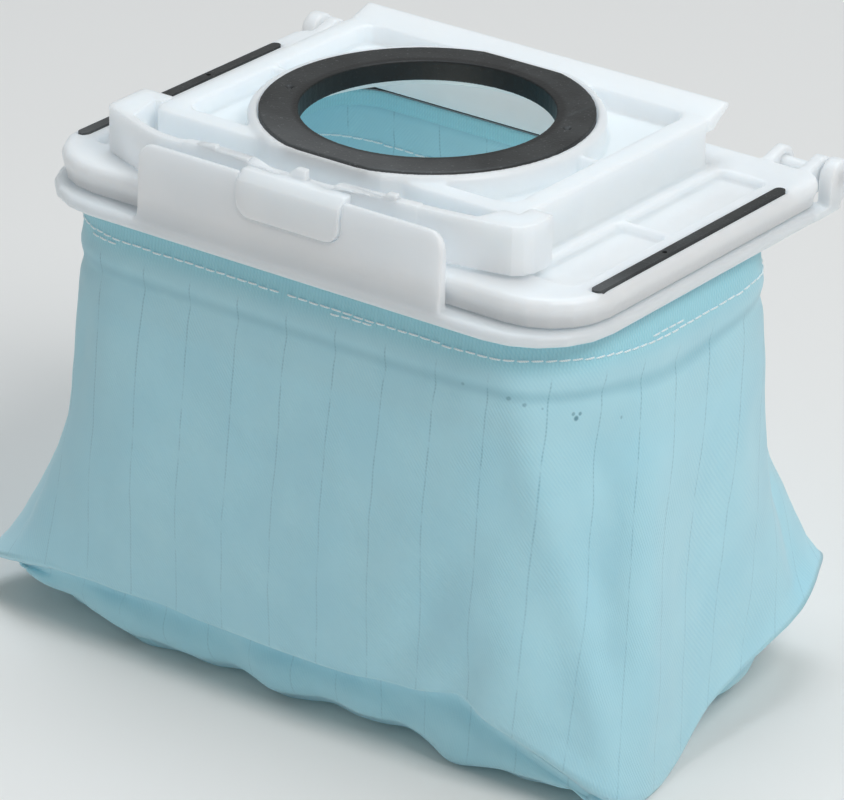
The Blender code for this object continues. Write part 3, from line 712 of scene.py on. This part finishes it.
def sheet_from_rows(name, grid, across, start, material, cap=False):
    """A thick cloth sheet from a closed-round grid. Its UV map is the cut cloth: across holds u."""
    rows, columns = grid.shape[:2]
    grid = grid.copy()
    grid[:, :, 2] = np.maximum(grid[:, :, 2], FLOOR + CLOTH_THICK / 2)
    verts = world(grid).reshape(-1, 3)
    faces = []
    for r in range(rows - 1):
        for c in range(columns):
            d = (c + 1) % columns
            faces.append((r * columns + c, (r + 1) * columns + c, (r + 1) * columns + d, r * columns + d))
    if cap:
        verts = np.vstack([verts, verts[-columns:].mean(axis=0)])
        last = (rows - 1) * columns
        faces += [(last + c, len(verts) - 1, last + (c + 1) % columns) for c in range(columns)]
    made = add_mesh(name, verts, faces, material)
    down = start + down_cloth(grid)
    mesh = made.data
    layer = mesh.uv_layers.new(name="cloth")
    index = np.empty(len(mesh.loops), np.int32)
    mesh.loops.foreach_get("vertex_index", index)
    row = np.minimum(index // columns, rows - 1)
    u = across[row, index % columns].astype(float)
    counts = np.array([p.loop_total for p in mesh.polygons])
    starts = np.repeat(np.array([p.loop_start for p in mesh.polygons]), counts)
    first = u[starts]
    u = np.where(u - first > CUT_ROUND / 2, u - CUT_ROUND, u)
    u = np.where(first - u > CUT_ROUND / 2, u + CUT_ROUND, u)
    uv = np.stack([u / 100, down[row] / 100], axis=1)
    layer.data.foreach_set("uv", uv.astype(np.float32).ravel())
    solid = made.modifiers.new("thickness", "SOLIDIFY")
    solid.thickness = CLOTH_THICK * MM
    solid.offset = 0
    return apply_all(made)


def surface_at(grid, out, w, u, depth):
    """A point and normal of the walls at a distance round the mouth and a depth below the flange."""
    column = float(np.interp(u, w, np.arange(len(w))))
    a = int(column) % len(w)
    b = (a + 1) % len(w)
    share = column - int(column)
    found = []
    for values in (grid, out):
        for c in (a, b):
            row = np.interp(depth, -grid[:, c, 2], np.arange(len(grid)))
            low = min(int(row), len(grid) - 2)
            found.append(values[low, c] + (values[low + 1, c] - values[low, c]) * (row - low))
    place = found[0] + (found[1] - found[0]) * share
    normal = found[2] + (found[3] - found[2]) * share
    return place, normal / np.linalg.norm(normal)


def stitch(start, end, side, normal):
    """Points and faces of one stitch: a bowed thread with ends that dip into the cloth."""
    points = []
    for share, size, lift in STITCH_RINGS:
        middle = start + (end - start) * share + normal * lift
        wide = side * STITCH_THICK * size
        tall = normal * STITCH_THICK * STITCH_FLAT * size
        for a in np.linspace(0, 2 * math.pi, STITCH_SIDES, endpoint=False):
            points.append(middle + wide * math.cos(a) + tall * math.sin(a))
    faces = []
    n = STITCH_SIDES
    for r in range(len(STITCH_RINGS) - 1):
        for c in range(n):
            d = (c + 1) % n
            faces.append((r * n + c, r * n + d, (r + 1) * n + d, (r + 1) * n + c))
    faces.append(tuple(range(n - 1, -1, -1)))
    faces.append(tuple(range(len(points) - n, len(points))))
    return points, faces


def stitch_depth(u):
    """How far below the flange the hem's stitches run, at a distance round the cloth."""
    corner = 2.9 * float(smooth_step(abs(u), 60, 100))
    behind = 2.2 * float(smooth_step(abs(u), 130, 175))
    return 5.1 + corner + behind


def make_stitches(wall, w, thread):
    """The hem's running stitches, outside and inside, with three short overlapping rows."""
    out = normals_of(wall)
    whole = w[-1]
    # Each row: its first and last place round the mouth, how much lower it runs, and 1 outside or -1 inside
    rows = (
        (0.0, whole, 0.0, 1),
        (1.2, whole, 0.0, -1),
        (whole - 56, whole - 46, 1.2, 1),
        (98.0, 110.0, -1.2, 1),
        (12.0, 25.0, 1.0, 1),
    )
    verts = []
    faces = []
    for u, last, shift, side in rows:
        while u < last - 1.6:
            sway = noise.noise(Vector((u * 0.13, side * 4.0, shift)))
            wander = noise.noise(Vector((u * 1.7, side * 9.0, shift + 3)))
            at = u if u < whole / 2 else u - whole
            depth = stitch_depth(at) + shift + 0.35 * sway + 0.10 * wander
            length = STITCH_LONG + 0.35 * wander
            lift = STITCH_PROUD if side > 0 else -1.15 - INNER_HEM
            depth += STITCH_INSIDE_DROP if side < 0 else 0.0
            a, normal = surface_at(wall, out, w, u, depth)
            b, _ = surface_at(wall, out, w, u + length, depth + 0.18 * wander)
            a, b = a + normal * lift, b + normal * lift
            direction = (b - a) / np.linalg.norm(b - a)
            across = np.cross(direction, normal)
            points, sides = stitch(a, b, across, normal * side)
            faces += [tuple(i + len(verts) for i in f) for f in sides]
            verts += points
            u += length + STITCH_GAP + 0.2 * sway
    mesh = add_mesh("hem_stitches", world(np.array(verts)), faces, thread)
    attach(mesh, "bag_frame")
    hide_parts("hem_thread")


def inner_hem(bag, wall):
    """Rows of the hem's inner fold: up the mouth's wall of the frame, then down inside the bag."""
    rows = int(round(INNER_HEM_DEEP / STEP))
    depth = -wall[:rows, :, 2:3]
    inset = INNER_HEM * (1 - smooth_step(depth, 13, 24)) + 0.7
    band = wall[:rows] - normals_of(wall)[:rows] * inset
    band = band[1:]
    edge = corner_ring(MOUTH_EDGE)
    mouth = along(edge, bag.at_top * lengths(edge)[-1] / bag.at_top[-1])
    above = [np.column_stack([mouth, np.full(len(mouth), z)]) for z in (3.0, 2.0, 0.8, -0.4)]
    lowest = above[-1]
    for share in (0.12, 0.4, 0.7):
        above.append(lowest + (band[0] - lowest) * np.array([share, share, 0.5]))
    return np.concatenate([above, band])


def make_bag(cloth, thread):
    """The bag's walls, bottom and inner hem, as sewn pieces of cloth, and the hem's stitches."""
    bag = Bag()
    wall = shape_walls(np.array(bag.wall()), bag.w)
    base = shape_base(np.array(bag.base()), bag.w)
    share = np.minimum(np.arange(len(wall)) / (len(wall) - 5), 1)[:, None]
    across = bag.u_top + (bag.u_crease - bag.u_top) * share
    walls = sheet_from_rows("bag_wall_cloth", wall, across, 0, cloth)
    under = np.tile(bag.u_crease - BOTTOM_SHIFT, (len(base), 1))
    bottom = sheet_from_rows("bag_bottom_cloth", base, under, down_cloth(wall)[-1] - 3, cloth, cap=True)
    inner = inner_hem(bag, wall)
    hem = sheet_from_rows("bag_hem_cloth", inner, np.tile(bag.u_top, (len(inner), 1)), 0, cloth)
    make_stitches(wall, bag.at_top, thread)
    for piece, node in ((walls, "bag_wall"), (bottom, "bag_bottom"), (hem, "bag_hem")):
        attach(piece, "bag_frame")
        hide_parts(node)


# Plastic and rubber


def strap_front(x):
    """The strap's front face, as in the CAD: a slow curve to the right, a rounded bend on the left."""
    if x > 0:
        return STRAP_Y + 3.2 * (x / 42.5) ** 2.2
    past = STRAP_BEND_X - x
    return STRAP_Y + (past + math.sqrt(past * past + 6.0)) / 5


def strap_half(side):
    """Half of the strap from behind the thumb pad to its arm, a hair thicker than the strap in the CAD."""
    xs = np.array(STRAP_STATIONS) * side
    # Only the stations at this half's own step in the top edge
    if side > 0:
        xs = xs[(xs < 13) | (xs > 14)]
    else:
        xs = xs[(xs > -10) | (xs < -12)]
    outline = [(x, strap_front(x) - STRAP_SKIN) for x in xs]
    outline += [(x, strap_front(x) + STRAP_THICK + STRAP_SKIN) for x in xs[::-1]]
    count = len(outline)
    tops = np.interp([x for x, _ in outline], *zip(*STRAP_TOP)) + 0.16
    lows = np.interp([x for x, _ in outline], (-34.0, -27.6), (10.6, 11.2)) - STRAP_SKIN
    verts = [(x, y, z) for (x, y), z in zip(outline, lows)]
    verts += [(x, y, z) for (x, y), z in zip(outline, tops)]
    faces = [tuple(range(count)), tuple(range(2 * count - 1, count - 1, -1))]
    faces += [(i, count + i, count + (i + 1) % count, (i + 1) % count) for i in range(count)]
    return verts, faces


def join_block(made, verts, faces):
    """Add a closed block to an object's mesh."""
    mesh = bmesh.new()
    mesh.from_mesh(made.data)
    added = [mesh.verts.new(v) for v in world(verts)]
    new = [mesh.faces.new([added[i] for i in f]) for f in faces]
    bmesh.ops.recalc_face_normals(mesh, faces=new)
    mesh.to_mesh(made.data)
    mesh.free()


def soft_copy(node, name, sizes, rounds, faces, material, body, block=None):
    """A softened copy of a CAD node, rounded as a moulding is, with an optional block joined to it."""
    source = frame["nodes"][node]
    made = bpy.data.objects.new(name, source.data.copy())
    bpy.context.scene.collection.objects.link(made)
    if block:
        join_block(made, *block)
    made.data.materials.clear()
    made.data.materials.append(material)
    weld = made.modifiers.new("weld", "WELD")
    weld.merge_threshold = 1e-5
    grid = made.modifiers.new("grid", "REMESH")
    grid.mode = "VOXEL"
    grid.voxel_size = sizes[1] * MM
    soft = made.modifiers.new("soft", "SMOOTH")
    soft.factor = 0.5
    soft.iterations = rounds
    apply_all(made)
    triangles = sum(p.loop_total - 2 for p in made.data.polygons)
    if triangles > faces:
        thin = made.modifiers.new("thin", "DECIMATE")
        thin.ratio = faces / triangles
        apply_all(made)
    made.data.shade_smooth()
    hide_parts(node)
    if body:
        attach(made, body)
    return made


def make_plastic(plastic):
    """The moulded pieces, and the small plastic ones that keep their CAD shape."""
    soft_copy("lid", "lid_moulding", LARGE_GRID, 3, 190000, plastic, "lid")
    soft_copy("lower_frame", "frame_moulding", LARGE_GRID, 3, 120000, plastic, "bag_frame")
    soft_copy("release_tab", "release_tab_moulding", SMALL_GRID, 3, 60000, plastic, "release_tab")
    for side, name in ((-1, "left"), (1, "right")):
        node = f"release_bow_{name}"
        block = strap_half(side)
        bow = soft_copy(node, f"{node}_moulding", SMALL_GRID, 3, 60000, plastic, None, block)
        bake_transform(bow)
    for name in ("hinge_pin_left", "hinge_pin_right", "hem_stiffener"):
        dress(name, plastic)


def press_dimples(ring):
    """The two small moulding marks in the top of the inlet's ring."""
    count = len(ring.data.vertices)
    points = np.empty(count * 3)
    ring.data.vertices.foreach_get("co", points)
    points = points.reshape(-1, 3)
    top = points[:, 2].max()
    for x, y in DIMPLES:
        far = np.hypot(points[:, 0] / MM - x, points[:, 1] / MM - y)
        depth = DIMPLE_DEEP * np.exp(-((far / DIMPLE_RADIUS) ** 4)) * (points[:, 2] > top - 1.5 * MM)
        points[:, 2] -= depth * MM
    ring.data.vertices.foreach_set("co", points.ravel())
    ring.data.update()


def dress(name, material):
    """A material and its slot for a CAD node that stays."""
    node = frame["nodes"][name]
    node.data.materials.clear()
    node.data.materials.append(material)


def make_rubber(rubber):
    """The inlet's ring is softened, and the other seals keep their CAD shape."""
    ring = soft_copy("inlet_seal", "inlet_seal_ring", SMALL_GRID, 2, 150000, rubber, "lid")
    press_dimples(ring)
    for name in ("seal_strip_left", "seal_strip_right", "frame_gasket"):
        dress(name, rubber)


# Stage, light and camera


def make_floor():
    """A pale floor that curves up behind, square to the camera and a hair below the bag. In metres."""
    half, front, radius, high = 4.0, -3.0, 1.2, 3.5
    turns = np.linspace(0.1, math.pi / 2, 14)
    ys = np.concatenate([[front, radius], radius + radius * np.sin(turns), [2 * radius]])
    zs = np.concatenate([[0, 0], radius - radius * np.cos(turns), [high]])
    turn = Matrix.Rotation(math.radians(36.5), 3, "Z")
    verts = [turn @ Vector((x, y, z - 0.0001)) for x in (-half, half) for y, z in zip(ys, zs)]
    count = len(ys)
    faces = [(i, count + i, count + i + 1, i + 1) for i in range(count - 1)]
    floor = add_mesh("floor", verts, faces, floor_material())


def add_light(name, place, target, size, power, colour):
    """A soft area light aimed at a point."""
    data = bpy.data.lights.new(name, "AREA")
    data.shape = "DISK"
    data.size = size
    data.energy = power
    data.color = colour
    light = bpy.data.objects.new(name, data)
    light.location = place
    light.rotation_euler = (Vector(target) - Vector(place)).to_track_quat("-Z", "Y").to_euler()
    bpy.context.scene.collection.objects.link(light)


def make_light():
    """Soft studio light, an even world, and a faint light in the bag for what the cloth lets in."""
    scene = bpy.context.scene
    scene.view_settings.view_transform = "Standard"
    world_light = bpy.data.worlds.new("studio")
    world_light.use_nodes = True
    world_light.node_tree.nodes["Background"].inputs[0].default_value = WORLD_COLOUR
    world_light.node_tree.nodes["Background"].inputs[1].default_value = WORLD_STRENGTH
    scene.world = world_light
    for light in LIGHTS:
        add_light(*light)


def make_camera():
    """A long lens from the front right, a little above."""
    data = bpy.data.cameras.new("camera")
    data.sensor_width = 36.0
    data.lens = CAMERA_LENS
    camera = bpy.data.objects.new("camera", data)
    a, e, roll = (math.radians(turn) for turn in (CAMERA_AZIMUTH, CAMERA_RISE, CAMERA_ROLL))
    back = Vector((math.sin(a) * math.cos(e), -math.cos(a) * math.cos(e), math.sin(e)))
    right = Vector((math.cos(a), math.sin(a), 0))
    up = back.cross(right)
    x_axis = right * math.cos(roll) + up * math.sin(roll)
    y_axis = up * math.cos(roll) - right * math.sin(roll)
    turn = Matrix((x_axis, y_axis, back)).transposed().to_4x4()
    camera.matrix_world = Matrix.Translation(CAMERA_PLACE) @ turn
    data.clip_start = 0.05
    bpy.context.scene.collection.objects.link(camera)
    bpy.context.scene.camera = camera


def main():
    """The whole scene."""
    plastic, rubber = plastic_material(), rubber_material()
    cloth, thread = cloth_material(), thread_material()
    make_camera()
    make_light()
    make_floor()
    make_bag(cloth, thread)
    make_plastic(plastic)
    make_rubber(rubber)


main()
